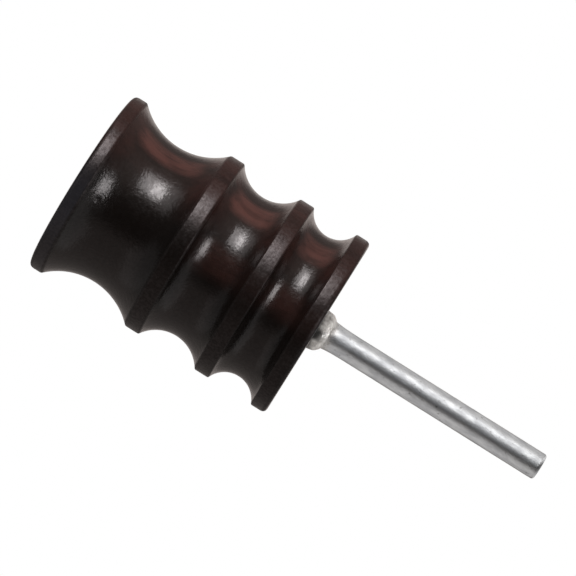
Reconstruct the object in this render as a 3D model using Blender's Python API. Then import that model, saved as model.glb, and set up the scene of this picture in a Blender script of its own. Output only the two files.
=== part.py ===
"""Leather edge burnisher bit for a rotary tool: a turned hardwood head on a bonded steel shank.

Run it with  blender --background --python part.py  or from Blender's text editor.
The bit stands on the head's flat free end: +Z runs up the shank, and the origin is the centre of that end face.
Three solids make it up, and none of them moves on another:
  burnisher_head  one turned hardwood billet with four rims, three concave edge grooves and a blind drilled bore
  drive_shank     the plain steel rod that a collet grips, with two fifths of its length inside the bore
  epoxy_bond      the cured adhesive: a cup around the embedded rod, and the bead squeezed out on the shoulder
"""

import math

import bmesh
import bpy

MM = 0.001  # every dimension below is in millimetres, and the model is in metres

# Head. Widths run along the axis, starting at the free end.
HEAD_RADIUS = 10.6
RIM_WIDTHS = (1.5, 1.6, 1.65, 1.75)
GROOVES = ((10.55, 2.2), (7.05, 1.96), (5.35, 1.85))  # (width, depth) of each concave arc
FREE_END_ROUND = 0.5
SHOULDER_ROUND = 0.5
EDGE_BREAK = 0.12  # how far a rim's edge is eased back, along the rim and down the groove

# Bore, a blind hole drilled from the shoulder.
BORE_RADIUS = 1.75
BORE_DEPTH = 20.5
DRILL_POINT_ANGLE = math.radians(118)

# Shank. Its heights are measured from the head's shoulder.
SHANK_RADIUS = 1.5
SHANK_OUT = 27.7
SHANK_IN = 20.0
TIP_ROUND = 0.4
INNER_END_CHAMFER = 0.3

# Adhesive. It keeps this clearance to the wood and to the steel, so that the meshes stay apart.
CLEARANCE = 0.03
BEAD_RADIUS = 2.25
BEAD_HEIGHT = 1.5
BEAD_LIP = 0.12  # wall left at the bead's thin upper edge, where it meets the shank
BEAD_STEPS = 6

# Facets.
TURN_STEPS = 40
ARC_STEP = 1.2  # longest run along a groove's arc
CORNER_STEPS = 3
SHARP_ANGLE = math.radians(40)
MERGE_DISTANCE = 1e-6  # metres

HEAD_LENGTH = sum(RIM_WIDTHS) + sum(width for width, _ in GROOVES)


def arc(centre, radius, start, end, steps):
    """Points (radius, height) along an arc in the half-plane of a turned profile, both ends included."""
    angles = [start + (end - start) * i / steps for i in range(steps + 1)]
    return [(centre[0] + radius * math.cos(a), centre[1] + radius * math.sin(a)) for a in angles]


def drill_point(radius):
    """Height of the cone that the drill leaves at the bottom of a hole."""
    return radius / math.tan(DRILL_POINT_ANGLE / 2)


def groove_arc(bottom, width, depth):
    """The concave arc of one edge groove, between the eased edges of the two rims beside it."""
    half = width / 2
    radius = (half**2 + depth**2) / (2 * depth)
    centre = (HEAD_RADIUS - depth + radius, bottom + half)
    reach = math.asin(half / radius) - EDGE_BREAK / radius
    steps = math.ceil(2 * reach * radius / ARC_STEP)
    return arc(centre, radius, math.pi + reach, math.pi - reach, steps)


def head_profile():
    """From the centre of the free end, up over the rims and grooves, and down into the bore."""
    points = [(0, 0)]
    points += arc((HEAD_RADIUS - FREE_END_ROUND, FREE_END_ROUND), FREE_END_ROUND, -math.pi / 2, 0, CORNER_STEPS)
    height = 0
    for rim, (width, depth) in zip(RIM_WIDTHS, GROOVES):
        height += rim
        points.append((HEAD_RADIUS, height - EDGE_BREAK))
        points += groove_arc(height, width, depth)
        height += width
        points.append((HEAD_RADIUS, height + EDGE_BREAK))
    shoulder = (HEAD_RADIUS - SHOULDER_ROUND, HEAD_LENGTH - SHOULDER_ROUND)
    points += arc(shoulder, SHOULDER_ROUND, 0, math.pi / 2, CORNER_STEPS)
    points += [
        (BORE_RADIUS, HEAD_LENGTH),
        (BORE_RADIUS, HEAD_LENGTH - BORE_DEPTH),
        (0, HEAD_LENGTH - BORE_DEPTH - drill_point(BORE_RADIUS)),
    ]
    return points


def inner_end(clearance=0.0):
    """The chamfered inner end of the rod, or the adhesive's side of it, from the axis outwards."""
    radius = SHANK_RADIUS + clearance
    foot = -SHANK_IN - clearance
    return [(0, foot), (radius - INNER_END_CHAMFER, foot), (radius, foot + INNER_END_CHAMFER)]


def shank_profile():
    """The whole rod, from the centre of its inner end to the centre of its tip."""
    tip = arc((SHANK_RADIUS - TIP_ROUND, SHANK_OUT - TIP_ROUND), TIP_ROUND, 0, math.pi / 2, CORNER_STEPS)
    return [*inner_end(), *tip, (0, SHANK_OUT)]


def bead_side():
    """The bead's domed outside, from the shoulder up to the lip around the shank."""
    lip = SHANK_RADIUS + CLEARANCE + BEAD_LIP
    rises = [i / BEAD_STEPS for i in range(BEAD_STEPS + 1)]
    return [
        (lip + (BEAD_RADIUS - lip) * (1 - t**2), CLEARANCE + (BEAD_HEIGHT - CLEARANCE) * t) for t in rises
    ]


def bond_profile():
    """A cup that fills the bore around the rod, with the bead on the shoulder."""
    outer = BORE_RADIUS - CLEARANCE
    return [
        (0, CLEARANCE - BORE_DEPTH - drill_point(outer)),
        (outer, CLEARANCE - BORE_DEPTH),
        (outer, CLEARANCE),
        *bead_side(),
        (SHANK_RADIUS + CLEARANCE, BEAD_HEIGHT),
        *reversed(inner_end(CLEARANCE)),
    ]


def turned(name, profile, material, height, parent):
    """A solid of revolution about Z. The profile runs from the axis, round the outside and back to the axis."""
    bm = bmesh.new()
    verts = [bm.verts.new((radius * MM, 0, rise * MM)) for radius, rise in profile]
    edges = [bm.edges.new(pair) for pair in zip(verts, verts[1:])]
    bmesh.ops.spin(
        bm, geom=verts + edges, cent=(0, 0, 0), axis=(0, 0, 1), angle=math.tau, steps=TURN_STEPS, use_merge=True
    )
    bmesh.ops.remove_doubles(bm, verts=bm.verts, dist=MERGE_DISTANCE)
    bmesh.ops.recalc_face_normals(bm, faces=bm.faces)
    mesh = bpy.data.meshes.new(name)
    bm.to_mesh(mesh)
    bm.free()
    mesh.shade_smooth()
    mesh.set_sharp_from_angle(angle=SHARP_ANGLE)
    mesh.materials.append(material)
    piece = bpy.data.objects.new(name, mesh)
    bpy.context.scene.collection.objects.link(piece)
    piece.parent = parent
    piece.location.z = height * MM


def make_material(name, colour, roughness, metallic=0.0):
    made = bpy.data.materials.new(name)
    made.use_nodes = True
    shader = made.node_tree.nodes["Principled BSDF"]
    shader.inputs["Base Color"].default_value = (*colour, 1.0)
    shader.inputs["Roughness"].default_value = roughness
    shader.inputs["Metallic"].default_value = metallic
    return made


def main():
    for stale in list(bpy.data.objects):
        bpy.data.objects.remove(stale, do_unlink=True)
    wood = make_material("dark_hardwood", (0.035, 0.018, 0.016), roughness=0.3)
    steel = make_material("plated_steel", (0.62, 0.62, 0.62), roughness=0.3, metallic=1.0)
    epoxy = make_material("cured_epoxy", (0.38, 0.36, 0.33), roughness=0.15)

    axis = bpy.data.objects.new("spin_axis", None)
    bpy.context.scene.collection.objects.link(axis)

    turned("burnisher_head", head_profile(), wood, 0, axis)
    turned("drive_shank", shank_profile(), steel, HEAD_LENGTH, axis)
    turned("epoxy_bond", bond_profile(), epoxy, HEAD_LENGTH, axis)


main()
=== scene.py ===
"""Looks of the leather edge burnisher bit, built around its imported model.

The bit stands on its flat free end with its shank up +Z. The camera looks along +Y, rolled so that the
shank points down and to the right. Angles round the bit ("bearings") start at the camera's side, -Y, and
turn towards -X, which is the upper side in the picture.
"""

import math
import random

import bpy
import numpy as np
from mathutils import Matrix, Vector


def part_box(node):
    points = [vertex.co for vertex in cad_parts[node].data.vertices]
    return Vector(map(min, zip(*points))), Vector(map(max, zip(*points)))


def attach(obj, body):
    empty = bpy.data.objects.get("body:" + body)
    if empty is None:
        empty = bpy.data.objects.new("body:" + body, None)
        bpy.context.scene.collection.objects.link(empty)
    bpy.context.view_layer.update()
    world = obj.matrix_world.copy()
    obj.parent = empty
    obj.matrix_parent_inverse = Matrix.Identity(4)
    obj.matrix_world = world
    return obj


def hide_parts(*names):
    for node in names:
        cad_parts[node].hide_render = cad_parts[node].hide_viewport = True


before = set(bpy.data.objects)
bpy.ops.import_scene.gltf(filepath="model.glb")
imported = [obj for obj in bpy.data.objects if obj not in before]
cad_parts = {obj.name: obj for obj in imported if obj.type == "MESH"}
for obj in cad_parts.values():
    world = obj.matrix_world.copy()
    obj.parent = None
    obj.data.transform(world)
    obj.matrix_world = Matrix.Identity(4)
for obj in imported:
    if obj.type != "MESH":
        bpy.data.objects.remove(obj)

MM = 0.001

# Camera.
CAMERA_DISTANCE = 410.2 * MM
CAMERA_LENS = 242.36  # on Blender's 36 mm wide sensor
CAMERA_AIM_SIDE = -1.936 * MM
CAMERA_AIM_HEIGHT = 24.5 * MM
CAMERA_ROLL = math.radians(32.08)  # how far the shank points below the picture's horizontal

# Head, in millimetres from the free end. The overall size comes from the frame.
RIM_WIDTHS = (1.5, 1.6, 1.65, 1.75)
GROOVES = ((10.55, 2.2), (7.05, 1.96), (5.35, 1.85))  # (width, depth) of each concave arc
FREE_END_ROUND = 0.62
SHOULDER_ROUND = 0.65
EDGE_BREAK = 0.14
FREE_END_STEPS = 8
SHOULDER_STEPS = 6
EDGE_STEPS = 4
BORE_RADIUS = 1.75
BORE_DEPTH = 20.5
DRILL_POINT = 1.0  # height of the cone at the bottom of the bore
HEAD_STEPS = 300
GROOVE_RUN = 0.14  # longest edge along a groove's arc
HEAD_RUN = 0.56  # longest edge along the rest of the profile

# A small nick in the wall of the widest groove.
NICK_BEARING = -5
NICK_REACH = 9.5  # from the axis
NICK_HEIGHT = 3.1
NICK_RADIUS = 0.42
NICK_DEPTH = 0.05

# Shank.
TIP_ROUND = 0.36
TIP_STEPS = 6
INNER_CHAMFER = 0.3
SHANK_STEPS = 96
SHANK_RUN = 0.12
DENTS = 170
DENT_RADII = (0.2, 0.65)
DENT_DEPTHS = (0.002, 0.008)

# Adhesive.
CLEARANCE = 0.03
BEAD_GAP = 0.005  # between the bead and the head
BEAD_RADIUS = 2.27
BEAD_RISE = 1.34
BEAD_FULLNESS = 3.3  # the bead is the squarer, the higher this is
BEAD_POINTS = 30
BEAD_LUMPS = 0.07  # height of its lumps
BEAD_LEAN = 0.12  # how far it sits off centre at the shoulder, towards +X
FILM_RISE = 5.5
FILM_WALL = 0.14  # the film thins out from this, until it sinks into the shank
FILM_SINK = 0.012  # how far below the shank's surface it would level out
FILM_FADE = 1.1  # the rise over which it thins to about a third
FILM_POINTS = 40
FILM_TUCK = 0.1  # how far the film's hidden end is tucked into the shank
BOND_STEPS = 120
BOND_RUN = 0.3

# Colours, in linear light.
WOOD_DARK = (0.0055, 0.004, 0.0034)
# The red is the wood's figuring, and also painted light on the side that faces the key lamps.
WOOD_RED_AND_PAINTED_LIGHT = (0.086, 0.034, 0.028)
# The next colour is a painted reflection on one side of the rim at the free end.
WOOD_PAINTED_REFLECTION = (0.026, 0.026, 0.031)
WOOD_GRAIN = (0.003, 0.0022, 0.002)
STEEL_DARK = (0.465, 0.481, 0.498)
STEEL_LIGHT = (0.615, 0.632, 0.641)
STEEL_SPECK = (0.07, 0.065, 0.06)
RESIN_DARK = (0.47, 0.445, 0.415)
RESIN_LIGHT = (0.78, 0.75, 0.71)
RESIN_FOOT = (0.12, 0.10, 0.09)
# The next colour is painted shade: the steel's dark band as seen through the bead's resin.
RESIN_PAINTED_SHADE = (0.02, 0.02, 0.018)

# Reddish patches of the wood. Those at bearings 46 to 66 are painted light, where the wood faces the key
# lamps; the rest are reddish figuring. Each patch has a bearing and half a width in degrees, its strength
# in the grooves and on the rims, and the two heights in millimetres that it runs between.
FIGURE_AND_PAINTED_LIGHT = (
    (54, 9, 1.0, 0.25, -2, 13),
    (49, 10, 1.3, 0.25, 14, 22),
    (49, 10, 1.0, 0.25, 23, 31),
    (46, 26, 0.1, 0.3, -2, 31),
    (66, 14, 0.15, 0.4, -2, 31),
    (2, 11, 0.28, 0.08, 14, 31),
    (150, 20, 0.7, 0.4, -2, 31),
    (-115, 24, 0.6, 0.3, 4, 31),
    (-160, 10, 0.5, 0.2, -2, 20),
)

# Studio. Its brightness goes by bearing, and it is dim above and below the bit.
STUDIO_LEVELS = (
    (-180, 0.8), (-170, 0.45), (-160, 0.26), (-148, 0.23), (-124, 0.25), (-92, 0.3), (-62, 0.27),
    (-46, 0.24), (-34, 0.07), (-22, 0.02), (4, 0.03), (18, 0.1), (32, 0.3), (60, 0.45), (84, 0.3),
    (100, 0.22), (124, 0.24), (148, 0.2), (160, 0.7), (180, 0.8),
)
STUDIO_TINT = (1, 0.89, 0.84)
STUDIO_ABOVE = 0.12
STUDIO_BELOW = 0.04

# Heights that lamps aim at, in metres.
BEAD_AIM = 0.03
SHANK_AIM = 0.045
TIP_AIM = 0.057


def bearing(degrees):
    """Unit vector that points out from the axis at this bearing."""
    a = math.radians(degrees)
    return Vector((-math.sin(a), -math.cos(a), 0))


# ---------------------------------------------------------------- meshes

def bend(start, corner, end, steps):
    """Points on a smooth corner between two profile points."""
    points = []
    for i in range(steps + 1):
        t = i / steps
        first, middle, last = (1 - t) ** 2, 2 * t * (1 - t), t**2
        points.append(tuple(first * a + middle * c + last * b for a, c, b in zip(start, corner, end)))
    return points


def densify(profile, run):
    """Splits each straight stretch of a profile into edges no longer than run."""
    points = [profile[0]]
    for a, b in zip(profile, profile[1:]):
        count = max(1, math.ceil(math.dist(a, b) / run))
        points += [tuple(p + (q - p) * i / count for p, q in zip(a, b)) for i in range(1, count + 1)]
    return points


def lathe(profile, steps):
    """Points (in mm) and faces of a solid of revolution. The profile starts and ends on the axis."""
    rings = np.array(profile[1:-1])
    angles = np.arange(steps) * math.tau / steps
    points = np.empty((len(rings), steps, 3))
    points[..., 0] = rings[:, :1] * np.cos(angles)
    points[..., 1] = rings[:, :1] * np.sin(angles)
    points[..., 2] = rings[:, 1:]
    ends = [(0, 0, profile[0][1]), (0, 0, profile[-1][1])]
    around = np.arange(steps)
    after = (around + 1) % steps
    low = np.arange(len(rings) - 1)[:, None] * steps
    quads = np.stack([low + around, low + after, low + steps + after, low + steps + around], axis=-1)
    first, last = len(rings) * steps, len(rings) * steps + 1
    top = (len(rings) - 1) * steps
    faces = quads.reshape(-1, 4).tolist()
    faces += [(first, int(b), int(a)) for a, b in zip(around, after)]
    faces += [(last, int(top + a), int(top + b)) for a, b in zip(around, after)]
    return np.concatenate([points.reshape(-1, 3), ends]), faces


def outward(points):
    """Unit vectors from the axis to each point."""
    flat = points * (1, 1, 0)
    return flat / np.maximum(np.linalg.norm(flat, axis=1, keepdims=True), 1e-9)


def press(points, centre, radius, depth):
    """A smooth dent of that radius and depth, pushed in towards the axis."""
    near = np.clip(1 - (np.linalg.norm(points - centre, axis=1) / radius) ** 2, 0, 1) ** 2
    points -= outward(points) * (near * depth)[:, None]


def scatter_dents(points, seed, low, high):
    """Random dents in the shank, between two heights."""
    rng = random.Random(seed)
    for _ in range(DENTS):
        height = rng.uniform(low, high)
        angle = rng.uniform(0, math.tau)
        centre = (SHANK_RADIUS * math.cos(angle), SHANK_RADIUS * math.sin(angle), height)
        press(points, centre, rng.uniform(*DENT_RADII), rng.uniform(*DENT_DEPTHS))


def waves(points, seed, count, scale):
    """A smooth random field from -1 to 1, as a sum of sine waves whose lengths are near scale."""
    rng = np.random.default_rng(seed)
    field = np.zeros(len(points))
    for _ in range(count):
        way = rng.normal(size=3)
        way *= math.tau / (scale * rng.uniform(0.6, 1.6) * np.linalg.norm(way))
        field += np.sin(points @ way + rng.uniform(0, math.tau))
    return field / math.sqrt(count * 2)


def add_piece(name, points, faces, finish, node):
    """Makes the mesh, which rides on the one body and stands for a CAD node."""
    mesh = bpy.data.meshes.new(name)
    mesh.from_pydata((points * MM).tolist(), [], faces)
    mesh.shade_smooth()
    mesh.materials.append(finish)
    piece = bpy.data.objects.new(name, mesh)
    bpy.context.scene.collection.objects.link(piece)
    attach(piece, "root")
    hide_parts(node)
    return piece


# ---------------------------------------------------------------- shader nodes

class Shader:
    """Builds one material's nodes. Positions are the object's own, in millimetres."""

    def __init__(self, name):
        self.material = bpy.data.materials.new(name)
        self.material.use_nodes = True
        self.tree = self.material.node_tree
        self.bsdf = self.tree.nodes["Principled BSDF"]
        place = self.add("TexCoord").outputs["Object"]
        self.place = self.vector("SCALE", place, scale=1 / MM)
        self.height = self.add("SeparateXYZ", {0: self.place}).outputs["Z"]
        flat = self.vector("MULTIPLY", self.place, (1, 1, 0))
        self.radius = self.vector("LENGTH", flat)
        self.around = self.vector("NORMALIZE", flat)

    def feed(self, socket, value):
        if isinstance(value, bpy.types.NodeSocket):
            self.tree.links.new(value, socket)
        else:
            socket.default_value = value

    def add(self, kind, inputs=None, **settings):
        node = self.tree.nodes.new("ShaderNode" + kind)
        for key, value in settings.items():
            setattr(node, key, value)
        for key, value in (inputs or {}).items():
            self.feed(node.inputs[key], value)
        return node

    def vector(self, operation, a, b=None, scale=None):
        node = self.add("VectorMath", {0: a}, operation=operation)
        if b is not None:
            self.feed(node.inputs[1], b)
        if scale is not None:
            self.feed(node.inputs["Scale"], scale)
        return node.outputs["Value" if operation in ("LENGTH", "DOT_PRODUCT") else "Vector"]

    def math(self, operation, *values):
        return self.add("Math", dict(enumerate(values)), operation=operation).outputs[0]

    def facing(self, degrees):
        """Cosine of the angle round the bit between here and this bearing."""
        return self.vector("DOT_PRODUCT", self.around, bearing(degrees))

    def ease(self, value, low, high, out_low=0.0, out_high=1.0):
        """Smoothly maps low..high to out_low..out_high."""
        inputs = {"Value": value, "From Min": low, "From Max": high, "To Min": out_low, "To Max": out_high}
        return self.add("MapRange", inputs, interpolation_type="SMOOTHSTEP").outputs[0]

    def noise(self, scale, detail=3.0, roughness=0.5, shift=(0, 0, 0)):
        """Noise whose features are about 1/scale millimetres long, with its own scale for each axis."""
        place = self.vector("MULTIPLY", self.vector("ADD", self.place, shift), scale)
        inputs = {"Vector": place, "Scale": 1.0, "Detail": detail, "Roughness": roughness}
        return self.add("TexNoise", inputs).outputs["Fac"]

    def mix(self, factor, a, b):
        """Blends two colours."""
        node = self.add("Mix", data_type="RGBA")
        self.feed(node.inputs["Factor"], factor)
        self.feed(node.inputs["A"], a if isinstance(a, bpy.types.NodeSocket) else (*a, 1.0))
        self.feed(node.inputs["B"], b if isinstance(b, bpy.types.NodeSocket) else (*b, 1.0))
        return node.outputs["Result"]

    def mix_normals(self, factor, a, b):
        """Blends two normals. The Mix node's vector sockets are found by their places in it."""
        node = self.add("Mix", data_type="VECTOR")
        self.feed(node.inputs["Factor"], factor)
        self.feed(node.inputs[4], a)
        self.feed(node.inputs[5], b)
        return node.outputs[1]

    def bump(self, height, distance, normal=None):
        """Raises the surface by height times distance (in mm)."""
        node = self.add("Bump", {"Height": height, "Distance": distance * MM, "Strength": 1.0})
        if normal is not None:
            self.feed(node.inputs["Normal"], normal)
        return node.outputs["Normal"]

    def finish(self, **sockets):
        for key, value in sockets.items():
            self.feed(self.bsdf.inputs[key.replace("_", " ")], value)
        return self.material


# ---------------------------------------------------------------- head

HEAD_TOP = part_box("burnisher_head")[1]
HEAD_RADIUS = HEAD_TOP.x / MM
HEAD_LENGTH = HEAD_TOP.z / MM
HEAD_MIDDLE = HEAD_TOP.z / 2


def groove(bottom, width, depth):
    """The concave arc of one groove, with its two eased edges."""
    half = width / 2
    radius = (half**2 + depth**2) / (2 * depth)
    middle = bottom + half
    reach = math.asin(half / radius) - EDGE_BREAK / radius
    steps = math.ceil(2 * reach * radius / GROOVE_RUN)
    angles = [-reach + 2 * reach * i / steps for i in range(steps + 1)]
    floor = HEAD_RADIUS - depth + radius
    curve = [(floor - radius * math.cos(a), middle + radius * math.sin(a)) for a in angles]
    low, high = (HEAD_RADIUS, bottom), (HEAD_RADIUS, bottom + width)
    into = bend((HEAD_RADIUS, bottom - EDGE_BREAK), low, curve[0], EDGE_STEPS)
    out = bend(curve[-1], high, (HEAD_RADIUS, bottom + width + EDGE_BREAK), EDGE_STEPS)
    return [*into, *curve[1:-1], *out]


def head_profile():
    face_edge = (HEAD_RADIUS - FREE_END_ROUND, 0)
    rim_edge = (HEAD_RADIUS, FREE_END_ROUND)
    points = [(0, 0), *bend(face_edge, (HEAD_RADIUS, 0), rim_edge, FREE_END_STEPS)]
    height = 0
    for rim, (width, depth) in zip(RIM_WIDTHS, GROOVES):
        height += rim
        points += groove(height, width, depth)
        height += width
    rim_edge = (HEAD_RADIUS, HEAD_LENGTH - SHOULDER_ROUND)
    face_edge = (HEAD_RADIUS - SHOULDER_ROUND, HEAD_LENGTH)
    points += bend(rim_edge, (HEAD_RADIUS, HEAD_LENGTH), face_edge, SHOULDER_STEPS)
    points += [
        (BORE_RADIUS, HEAD_LENGTH),
        (BORE_RADIUS, HEAD_LENGTH - BORE_DEPTH),
        (0, HEAD_LENGTH - BORE_DEPTH - DRILL_POINT),
    ]
    return points


def wood_figure_and_painted_light(s):
    """How red the wood is in each patch of figuring and of painted light, whose edges wander."""
    groove = s.ease(s.radius, 8.5, 10.2, 1.0, 0.0)
    wander = s.noise((0.35, 0.35, 0.08), detail=2.0)
    wander = s.math("MULTIPLY", s.math("SUBTRACT", wander, 0.5), 0.15)
    patches = 0.0
    for degrees, half, in_grooves, on_rims, start, end in FIGURE_AND_PAINTED_LIGHT:
        off = s.math("ADD", s.math("ARCCOSINE", s.facing(degrees)), wander)
        inside = s.ease(off, math.radians(half * 0.3), math.radians(half * 1.6), 1.0, 0.0)
        patch = s.math("MULTIPLY", s.ease(groove, 0.0, 1.0, on_rims, in_grooves), inside)
        patch = s.math("MULTIPLY", patch, s.ease(s.height, start - 1.0, start + 0.5))
        patch = s.math("MULTIPLY", patch, s.ease(s.height, end - 0.5, end + 1.0, 1.0, 0.0))
        patches = s.math("MAXIMUM", patch, patches)
    return patches


def wood_colour(s, face):
    """Nearly black wood with reddish figuring, and reddish painted light on the side that faces the key
    lamps. The flat faces show end grain and none of these patches.
    """
    figure_and_painted_light = s.math("MULTIPLY", wood_figure_and_painted_light(s), s.math("SUBTRACT", 1.0, face))
    end_grain = s.ease(s.noise((1.1, 1.1, 1.1), detail=4.0, roughness=0.7), 0.45, 0.75, 0.0, 0.25)
    figure_and_painted_light = s.math("ADD", figure_and_painted_light, s.math("MULTIPLY", face, end_grain))
    mottle = s.noise((0.5, 0.5, 0.22), shift=(3, 7, 1))
    red = s.math("MULTIPLY", figure_and_painted_light, s.ease(mottle, 0.25, 0.6, 0.5, 1.0))
    colour = s.mix(red, WOOD_DARK, WOOD_RED_AND_PAINTED_LIGHT)

    # Painted reflection: the rim at the free end is painted paler and bluish on one side, where it would
    # reflect its surroundings.
    painted_reflection = s.ease(s.facing(-50), 0.3, 0.95)
    painted_reflection = s.math("MULTIPLY", painted_reflection, s.ease(s.height, 1.3, 1.6, 1.0, 0.0))
    colour = s.mix(painted_reflection, colour, WOOD_PAINTED_REFLECTION)
    grain = s.noise((2.2, 2.2, 0.2), roughness=0.55)
    return s.mix(s.ease(grain, 0.45, 0.75, 0.0, 0.32), colour, WOOD_GRAIN)


def dark_hardwood():
    s = Shader("dark_hardwood")
    rim = s.ease(s.radius, 10.25, 10.5)
    low_face = s.ease(s.height, 0.05, 0.2, 1.0, 0.0)
    high_face = s.ease(s.height, HEAD_LENGTH - 0.2, HEAD_LENGTH - 0.05)
    face = s.math("MAXIMUM", low_face, high_face)

    # The polish is cloudy, lathe marks run round the bit, and the flat faces have fine turned rings.
    marks = s.noise((0.5, 0.5, 5.0), detail=2.0)
    cloud = s.noise((1.5, 1.5, 1.9), roughness=0.62)
    speckle = s.noise((4.2, 4.2, 4.2), detail=1.0)
    across = s.math("MULTIPLY", s.radius, 3.5)
    rings = s.add("TexNoise", {"W": across, "Detail": 2.0}, noise_dimensions="1D").outputs["Fac"]
    normal = s.bump(marks, 0.008)
    normal = s.bump(cloud, 0.027, normal)
    normal = s.bump(speckle, 0.01, normal)
    normal = s.bump(s.math("MULTIPLY", rings, face), 0.02, normal)

    # The rims are worn: their shine is duller, reddish and speckled, and it is dullest on their edges.
    worn = s.noise((3.2, 3.2, 3.2), detail=2.0, roughness=0.6, shift=(4, 4, 8))
    flat = s.ease(s.radius, HEAD_RADIUS - 0.03, HEAD_RADIUS - 0.004)
    edge = s.math("MULTIPLY", rim, s.math("SUBTRACT", 1.0, flat))
    rough = s.math("ADD", s.ease(rim, 0, 1, 0.2, 0.32), s.ease(cloud, 0.3, 0.7, -0.03, 0.05))
    rough = s.math("ADD", rough, s.math("MULTIPLY", edge, 0.14))
    dull = s.math("MULTIPLY", s.ease(rim, 0, 1, 0.13, 0.29), s.ease(worn, 0.3, 0.7, 1.0, 0.3))
    shine = s.math("SUBTRACT", 0.53, dull)
    shine = s.math("SUBTRACT", shine, s.math("MULTIPLY", edge, 0.04))
    return s.finish(
        Base_Color=wood_colour(s, face),
        Roughness=rough,
        IOR=1.55,
        Normal=normal,
        Specular_IOR_Level=shine,
        Specular_Tint=s.mix(rim, (1.0, 0.95, 0.95), (1.0, 0.9, 0.91)),
    )


def make_head():
    points, faces = lathe(densify(head_profile(), HEAD_RUN), HEAD_STEPS)
    nick = bearing(NICK_BEARING) * NICK_REACH
    press(points, (nick.x, nick.y, NICK_HEIGHT), NICK_RADIUS, NICK_DEPTH)
    return add_piece("turned_head", points, faces, dark_hardwood(), "burnisher_head")


# ---------------------------------------------------------------- shank

SHANK_LOW, SHANK_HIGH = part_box("drive_shank")
SHANK_RADIUS = SHANK_HIGH.x / MM
SHANK_FOOT = SHANK_LOW.z / MM
SHANK_TIP = SHANK_HIGH.z / MM


def shank_profile():
    side_edge = (SHANK_RADIUS, SHANK_TIP - TIP_ROUND)
    face_edge = (SHANK_RADIUS - TIP_ROUND, SHANK_TIP)
    tip = bend(side_edge, (SHANK_RADIUS, SHANK_TIP), face_edge, TIP_STEPS)
    out = densify([(SHANK_RADIUS, HEAD_LENGTH), side_edge], SHANK_RUN)
    return [
        (0, SHANK_FOOT),
        (SHANK_RADIUS - INNER_CHAMFER, SHANK_FOOT),
        (SHANK_RADIUS, SHANK_FOOT + INNER_CHAMFER),
        *out,
        *tip[1:],
        (0, SHANK_TIP),
    ]


def steel_look(s):
    """Colour, roughness and normal of dull zinc plating, with a few dark specks."""
    mottle = s.noise((1.5, 1.5, 0.6), detail=4.0, roughness=0.62)
    fine = s.noise((4.5, 4.5, 3.0), roughness=0.6, shift=(5, 1, 2))
    specks = s.noise((2.4, 2.4, 1.8), detail=1.0, shift=(9, 4, 7))
    colour = s.mix(s.ease(mottle, 0.3, 0.7), STEEL_DARK, STEEL_LIGHT)
    colour = s.mix(s.ease(specks, 0.67, 0.79, 0.0, 0.5), colour, STEEL_SPECK)
    normal = s.bump(mottle, 0.014)
    normal = s.bump(fine, 0.018, normal)
    return colour, s.ease(mottle, 0.25, 0.75, 0.45, 0.34), normal


def plated_steel():
    s = Shader("plated_steel")
    colour, rough, normal = steel_look(s)
    return s.finish(Base_Color=colour, Metallic=1.0, Roughness=rough, Normal=normal)


def make_shank():
    points, faces = lathe(shank_profile(), SHANK_STEPS)
    scatter_dents(points, 11, HEAD_LENGTH + 1.0, SHANK_TIP)
    return add_piece("steel_shank", points, faces, plated_steel(), "drive_shank")


# ---------------------------------------------------------------- adhesive

BOND_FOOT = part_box("epoxy_bond")[0].z / MM


def bead_side():
    """The bead's domed outside, from the shoulder up to the film."""
    lip = SHANK_RADIUS + FILM_WALL
    face = HEAD_LENGTH + BEAD_GAP
    return [
        (lip + (BEAD_RADIUS - lip) * (1 - t**BEAD_FULLNESS), face + (BEAD_RISE - BEAD_GAP) * t)
        for t in np.linspace(0, 0.98, BEAD_POINTS)
    ]


def film_side():
    """The film's outside, which thins out until it lies below the shank's surface."""
    level = SHANK_RADIUS - FILM_SINK
    wall = FILM_WALL + FILM_SINK
    return [
        (level + wall * math.exp((BEAD_RISE - rise) / FILM_FADE), HEAD_LENGTH + rise)
        for rise in np.linspace(BEAD_RISE, FILM_RISE, FILM_POINTS)
    ]


def bond_profile():
    """From the bottom of the bore up its wall, over the bead and film, and down along the rod."""
    inner = SHANK_RADIUS + CLEARANCE
    outer = BORE_RADIUS - CLEARANCE
    return [
        (0, BOND_FOOT),
        (outer, BOND_FOOT + DRILL_POINT),
        (outer, HEAD_LENGTH + BEAD_GAP),
        *bead_side(),
        *film_side(),
        (SHANK_RADIUS - FILM_TUCK, HEAD_LENGTH + FILM_RISE + 2 * FILM_TUCK),
        (SHANK_RADIUS - FILM_TUCK, HEAD_LENGTH),
        (inner, HEAD_LENGTH - FILM_TUCK),
        (inner, SHANK_FOOT + INNER_CHAMFER),
        (inner - INNER_CHAMFER, SHANK_FOOT - CLEARANCE),
        (0, SHANK_FOOT - CLEARANCE),
    ]


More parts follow.
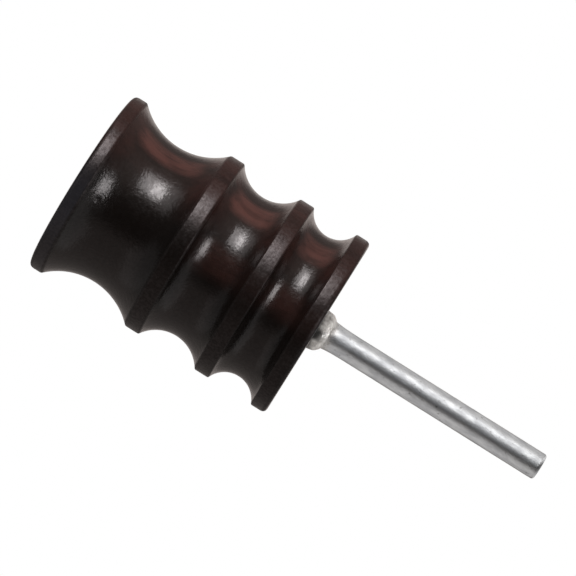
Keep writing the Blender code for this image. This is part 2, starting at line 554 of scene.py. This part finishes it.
def cured_epoxy():
    """Glossy resin in the bead. The film above it is so thin that the plating shows through."""
    s = Shader("cured_epoxy")
    steel, steel_rough, steel_normal = steel_look(s)
    rise = s.math("SUBTRACT", s.height, HEAD_LENGTH)
    cloud = s.noise((1.6, 1.6, 1.6))
    film = s.ease(s.math("ADD", rise, s.math("MULTIPLY", cloud, 0.9)), 1.45, 2.9)
    resin = s.mix(s.ease(cloud, 0.3, 0.7), RESIN_DARK, RESIN_LIGHT)
    resin = s.mix(s.ease(rise, 0.0, 0.35, 0.55, 0.0), resin, RESIN_FOOT)
    # Painted shade: a dark patch on the bead's side facing bearing -16 stands in for the shank's dark band
    # seen through the resin.
    painted_shade = s.math("MULTIPLY", s.ease(s.facing(-16), 0.93, 0.995), s.ease(rise, 0.2, 1.5, 0.95, 0.0))
    resin = s.mix(painted_shade, resin, RESIN_PAINTED_SHADE)
    lumpy = s.bump(s.noise((2.6, 2.6, 2.6), shift=(2, 2, 2)), 0.1)
    lumpy = s.bump(s.noise((5.5, 5.5, 5.5), detail=1.0, shift=(6, 1, 3)), 0.035, lumpy)
    return s.finish(
        Base_Color=s.mix(film, resin, steel),
        Metallic=film,
        Roughness=s.math("ADD", s.math("MULTIPLY", film, steel_rough), s.ease(film, 0, 1, 0.1, 0.0)),
        IOR=1.55,
        Normal=s.mix_normals(film, lumpy, steel_normal),
        Transmission_Weight=0.4,
    )


def make_bond():
    points, faces = lathe(densify(bond_profile(), BOND_RUN), BOND_STEPS)
    radius = np.linalg.norm(points[:, :2], axis=1)
    rise = points[:, 2] - HEAD_LENGTH
    proud = np.clip((radius - SHANK_RADIUS) / 0.5, 0, 1) * (rise > 0)
    lumps = waves(points, seed=4, count=9, scale=1.3) * BEAD_LUMPS
    points += outward(points) * (proud * lumps)[:, None]
    lean = proud * BEAD_LEAN * np.clip(1 - (rise / BEAD_RISE) ** 2, 0, 1)
    points += np.outer(lean, (1, 0, 0))
    return add_piece("epoxy_bead", points, faces, cured_epoxy(), "epoxy_bond")


# ---------------------------------------------------------------- stage

def make_camera():
    camera = bpy.data.objects.new("camera", bpy.data.cameras.new("camera"))
    camera.data.lens = CAMERA_LENS
    camera.data.clip_start = 0.01
    camera.location = (0, -CAMERA_DISTANCE, HEAD_TOP.z)
    back = (camera.location - Vector((CAMERA_AIM_SIDE, 0, CAMERA_AIM_HEIGHT))).normalized()
    up = Vector((-math.cos(CAMERA_ROLL), 0, -math.sin(CAMERA_ROLL)))
    right = up.cross(back).normalized()
    turn = Matrix((right, back.cross(right), back)).transposed()
    camera.rotation_euler = turn.to_euler()
    bpy.context.scene.collection.objects.link(camera)
    bpy.context.scene.camera = camera


def softbox(name, degrees, climb, distance, size, radiance, height=HEAD_MIDDLE, only=(), tint=(1, 1, 1)):
    """A lamp that faces the axis at this height. It stands at this bearing, raised by climb degrees.

    Its distance, size and height are in metres, and it lights only the pieces named, or all if none is.
    """
    light = bpy.data.lights.new(name, "AREA")
    light.shape = "RECTANGLE"
    light.size, light.size_y = size
    light.color = tint
    light.energy = radiance * math.pi * size[0] * size[1]
    lamp = bpy.data.objects.new(name, light)
    flat = bearing(degrees) * math.cos(math.radians(climb))
    way = flat + Vector((0, 0, math.sin(math.radians(climb))))
    lamp.location = Vector((0, 0, height)) + way * distance
    lamp.rotation_euler = way.to_track_quat("Z", "Y").to_euler()
    lamp.visible_camera = False
    bpy.context.scene.collection.objects.link(lamp)
    if only:
        lit = bpy.data.collections.new(name + "_lights")
        for piece in only:
            lit.objects.link(piece)
        lamp.light_linking.receiver_collection = lit


def make_world():
    """White to the camera. To the bit it is a grey studio, whose brightness goes by bearing."""
    world = bpy.data.worlds.new("studio")
    bpy.context.scene.world = world
    world.use_nodes = True
    tree = world.node_tree
    tree.nodes.clear()

    def add(kind, **settings):
        node = tree.nodes.new("ShaderNode" + kind)
        for key, value in settings.items():
            setattr(node, key, value)
        return node

    def link(a, b):
        tree.links.new(a, b)

    split = add("SeparateXYZ")
    link(add("TexCoord").outputs["Generated"], split.inputs[0])
    minus_x = add("Math", operation="MULTIPLY")
    minus_y = add("Math", operation="MULTIPLY")
    link(split.outputs["X"], minus_x.inputs[0])
    link(split.outputs["Y"], minus_y.inputs[0])
    minus_x.inputs[1].default_value = minus_y.inputs[1].default_value = -1
    angle = add("Math", operation="ARCTAN2")
    link(minus_x.outputs[0], angle.inputs[0])
    link(minus_y.outputs[0], angle.inputs[1])
    turn = add("MapRange")
    turn.inputs["From Min"].default_value = -math.pi
    turn.inputs["From Max"].default_value = math.pi
    link(angle.outputs[0], turn.inputs["Value"])

    ramp = add("ValToRGB")
    ramp.color_ramp.interpolation = "LINEAR"
    elements = ramp.color_ramp.elements
    while len(elements) > 1:
        elements.remove(elements[-1])
    elements[0].position = 0
    for i, (degrees, level) in enumerate(STUDIO_LEVELS):
        element = elements[0] if i == 0 else elements.new((degrees + 180) / 360)
        element.color = (*(level * part for part in STUDIO_TINT), 1)
    link(turn.outputs[0], ramp.inputs[0])

    up = add("MapRange", interpolation_type="SMOOTHSTEP")
    down = add("MapRange", interpolation_type="SMOOTHSTEP")
    for node, low, high in ((up, 0.5, 0.95), (down, -0.5, -0.95)):
        node.inputs["From Min"].default_value = low
        node.inputs["From Max"].default_value = high
        link(split.outputs["Z"], node.inputs["Value"])
    above = add("Mix", data_type="RGBA")
    link(up.outputs[0], above.inputs["Factor"])
    link(ramp.outputs[0], above.inputs["A"])
    above.inputs["B"].default_value = (STUDIO_ABOVE, STUDIO_ABOVE, STUDIO_ABOVE, 1)
    below = add("Mix", data_type="RGBA")
    link(down.outputs[0], below.inputs["Factor"])
    link(above.outputs["Result"], below.inputs["A"])
    below.inputs["B"].default_value = (STUDIO_BELOW, STUDIO_BELOW, STUDIO_BELOW, 1)

    seen = add("Background")
    seen.inputs["Color"].default_value = (1, 1, 1, 1)
    studio = add("Background")
    link(below.outputs["Result"], studio.inputs["Color"])
    either = add("MixShader")
    link(add("LightPath").outputs["Is Camera Ray"], either.inputs[0])
    link(studio.outputs[0], either.inputs[1])
    link(seen.outputs[0], either.inputs[2])
    link(either.outputs[0], add("OutputWorld").inputs[0])


def make_floor():
    """A white floor that only the camera sees, and only from above."""
    mesh = bpy.data.meshes.new("floor")
    far = 2.0
    mesh.from_pydata([(-far, -far, 0), (far, -far, 0), (far, far, 0), (-far, far, 0)], [], [(0, 1, 2, 3)])
    material = bpy.data.materials.new("floor")
    material.use_nodes = True
    tree = material.node_tree
    tree.nodes.clear()
    white = tree.nodes.new("ShaderNodeEmission")
    clear = tree.nodes.new("ShaderNodeBsdfTransparent")
    geometry = tree.nodes.new("ShaderNodeNewGeometry")
    either = tree.nodes.new("ShaderNodeMixShader")
    output = tree.nodes.new("ShaderNodeOutputMaterial")
    tree.links.new(geometry.outputs["Backfacing"], either.inputs[0])
    tree.links.new(white.outputs[0], either.inputs[1])
    tree.links.new(clear.outputs[0], either.inputs[2])
    tree.links.new(either.outputs[0], output.inputs[0])
    mesh.materials.append(material)
    floor = bpy.data.objects.new("floor", mesh)
    bpy.context.scene.collection.objects.link(floor)
    floor.visible_diffuse = False
    floor.visible_glossy = False
    floor.visible_transmission = False
    floor.visible_shadow = False


def make_lamps(head, shank, bead):
    """Most lamps light only one or two pieces, because wood, steel and resin shine differently."""
    softbox("key", 48, -8, 0.5, (0.26, 0.31), 4.6, only=(head,))
    softbox("key_core", 47, -19, 0.5, (0.155, 0.165), 8.8, only=(head,))
    softbox("key_tail", 50, -36, 0.5, (0.3, 0.28), 0.8)
    softbox("side", 13.5, 57, 0.5, (0.155, 0.15), 6.9, only=(head, bead))
    softbox("low_side", -87, 61, 0.5, (0.44, 0.48), 0.22)
    softbox("wall_fill", -80, -50, 0.5, (0.5, 0.42), 0.13, only=(head,))
    rod_and_bead = (shank, bead)
    cool = (0.92, 0.96, 1)
    softbox("shank_key", 45, 0, 0.2, (0.16, 0.11), 2.1, SHANK_AIM, only=rod_and_bead)
    softbox("bead_glint", 6, 84, 0.2, (0.045, 0.04), 32, BEAD_AIM, only=(bead,))
    softbox("bead_glint_low", -46, 80, 0.2, (0.05, 0.05), 13, BEAD_AIM, only=(bead,))
    softbox("shank_fill", 8, 0, 0.2, (0.13, 0.09), 0.37, SHANK_AIM, only=rod_and_bead, tint=cool)
    softbox("tip_card", 110, 40, 0.08, (0.12, 0.06), 0.9, TIP_AIM, only=rod_and_bead)
    softbox("tip_card_low", -115, 40, 0.08, (0.12, 0.06), 0.45, TIP_AIM, only=rod_and_bead)
    softbox("upper_card", 105, 0, 0.06, (0.09, 0.05), 0.55, SHANK_AIM, only=rod_and_bead)
    softbox("lower_card", -90, 0, 0.06, (0.12, 0.05), 0.45, SHANK_AIM, only=rod_and_bead)


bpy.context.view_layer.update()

make_camera()
make_world()
make_floor()
make_lamps(make_head(), make_shank(), make_bond())

bpy.context.scene.view_settings.view_transform = "Standard"
